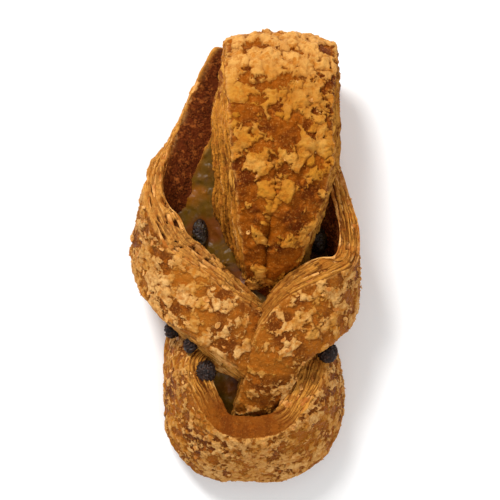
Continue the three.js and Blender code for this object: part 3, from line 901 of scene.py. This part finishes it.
def flake_tree():
    """Scatters thin curled shards over a crust, each with its own turn and size."""
    labels = "Density", "Size", "Tilt"
    inputs = [("Geometry", "Geometry"), *((label, "Float") for label in labels)]
    inputs += [("Seed", "Int"), ("Finish", "Material")]
    tree = new_tree("loose_flakes", "GeometryNodeTree", inputs, [("Geometry", "Geometry")])
    w = Wiring(tree)
    given = w.add("NodeGroupInput").outputs

    def field(name):
        node = w.add("GeometryNodeInputNamedAttribute", {"Name": name}, data_type="FLOAT")
        return node.outputs[0]

    def chance(low, high, offset):
        seed = w.math("ADD", given["Seed"], offset)
        return w.add(
            "FunctionNodeRandomValue", {2: low, 3: high, "Seed": seed}, data_type="FLOAT"
        ).outputs[1]

    plate = w.add(
        "GeometryNodeMeshCylinder",
        {"Vertices": 7, "Side Segments": 1, "Fill Segments": 2, "Radius": 0.5, "Depth": 0.09},
        fill_type="TRIANGLE_FAN",
    ).outputs[0]
    at = w.add("GeometryNodeInputPosition").outputs[0]
    axes = w.add("ShaderNodeSeparateXYZ", {0: at}).outputs
    curl = w.times(axes[0], axes[0], 0.7)
    bent = w.vector(w.times(axes[0], 1.3), axes[1], w.total(axes[2], curl))
    shard = w.add("GeometryNodeSetPosition", {"Geometry": plate, "Position": bent}).outputs[0]
    bare = w.math("SUBTRACT", 1.0, field("flat"))
    density = w.times(w.ramp(field("crust"), 0.5, 0.95), bare, given["Density"])
    spread = w.add(
        "GeometryNodeDistributePointsOnFaces",
        {"Mesh": given["Geometry"], "Density": density, "Seed": given["Seed"]},
        distribute_method="RANDOM",
    )
    size = w.times(w.math("POWER", chance(0.0, 1.0, 1), 2.0), given["Size"], MM)
    size = w.math("ADD", size, w.times(given["Size"], LEAST_FLAKE * MM))
    placed = w.add(
        "GeometryNodeInstanceOnPoints",
        {
            "Points": spread.outputs["Points"],
            "Instance": shard,
            "Rotation": spread.outputs["Rotation"],
            "Scale": w.vector(size, w.times(size, chance(0.5, 1.0, 2)), size),
        },
    ).outputs[0]
    leans = [w.times(chance(-1.0, 1.0, offset), given["Tilt"]) for offset in (3, 4)]
    lean = w.vector(*leans, chance(0.0, FULL_TURN, 5))
    turned = w.add("GeometryNodeRotateInstances", {"Instances": placed, "Rotation": lean})
    real = w.add("GeometryNodeRealizeInstances", {"Geometry": turned.outputs[0]}).outputs[0]
    here = w.stretch(w.add("GeometryNodeInputPosition").outputs[0], 1 / MM)
    jag = w.shift(w.noise(here, 0.9, 2.0, output=1), (-0.5, -0.5, -0.5))
    tear = {"Geometry": real, "Offset": w.stretch(jag, TEAR * MM)}
    torn = w.add("GeometryNodeSetPosition", tear).outputs[0]
    last = w.add("GeometryNodeSetMaterial", {"Geometry": torn, "Material": given["Finish"]})
    w.tree.links.new(last.outputs[0], w.add("NodeGroupOutput").inputs[0])
    return tree


crisp_shard = crisp_material("crisp_shard", paint(178, 108, 40), paint(218, 162, 90))
LOOSE_FLAKES = flake_tree()
for host, density, size, seed in (
    (tongue, 3000.0, 2.0, 5),
    (left_strip, 40000.0, 1.9, 6),
    (right_strip, 40000.0, 1.9, 7),
    (foot_loop, 70000.0, 1.4, 8),
):
    flakes = bpy.data.objects.new("flakes_on_" + host.name, host.data.copy())
    bpy.context.scene.collection.objects.link(flakes)
    values = {"Density": density, "Size": size, "Tilt": 0.2, "Seed": seed}
    run_tree(flakes, LOOSE_FLAKES, {**values, "Finish": crisp_shard})
    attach(flakes, "root")
    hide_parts("braided_dough")

# ---------------------------------------------------------------------------------------
# Table, lights and camera
# A plain white table under soft studio light, seen straight from above with a long lens.
# ---------------------------------------------------------------------------------------
bpy.ops.mesh.primitive_plane_add(size=4.0, location=(0, 0, -0.0002))
table = bpy.context.object
table.name = "table"
table_white, _, table_shader = new_material("table_white")
table_shader["Base Color"].default_value = (1, 1, 1, 1)
table_shader["Roughness"].default_value = 0.9
table.data.materials.append(table_white)

world = bpy.data.worlds.new("studio")
bpy.context.scene.world = world
world.use_nodes = True
world.node_tree.nodes["Background"].inputs["Color"].default_value = (1, 1, 1, 1)
world.node_tree.nodes["Background"].inputs["Strength"].default_value = 0.49


def softbox(name, place, size, power):
    """A square area light that faces the loaf."""
    data = bpy.data.lights.new(name, "AREA")
    data.size = size
    data.energy = power
    light = bpy.data.objects.new(name, data)
    light.location = place
    light.rotation_euler = (-Vector(place)).to_track_quat("-Z", "Y").to_euler()
    bpy.context.scene.collection.objects.link(light)


softbox("key_softbox", (-0.3, 0.6, 0.7), 0.28, 8.8)
softbox("fill_softbox", (0.35, -0.45, 0.8), 0.6, 3.0)

lens = bpy.data.cameras.new("camera")
lens.lens = 200
lens.clip_start = 0.01
camera = bpy.data.objects.new("camera", lens)
VIEW_WIDTH = 0.1754  # width of the picture at the loaf's middle height
distance = VIEW_WIDTH * lens.lens / lens.sensor_width
AIM = Vector((0.0004, 0.0014, 0.023))
camera.location = AIM + Vector((0, -0.02, 1)).normalized() * distance
camera.rotation_euler = (AIM - camera.location).to_track_quat("-Z", "Y").to_euler()
bpy.context.scene.collection.objects.link(camera)
bpy.context.scene.camera = camera
bpy.context.scene.view_settings.view_transform = "Standard"
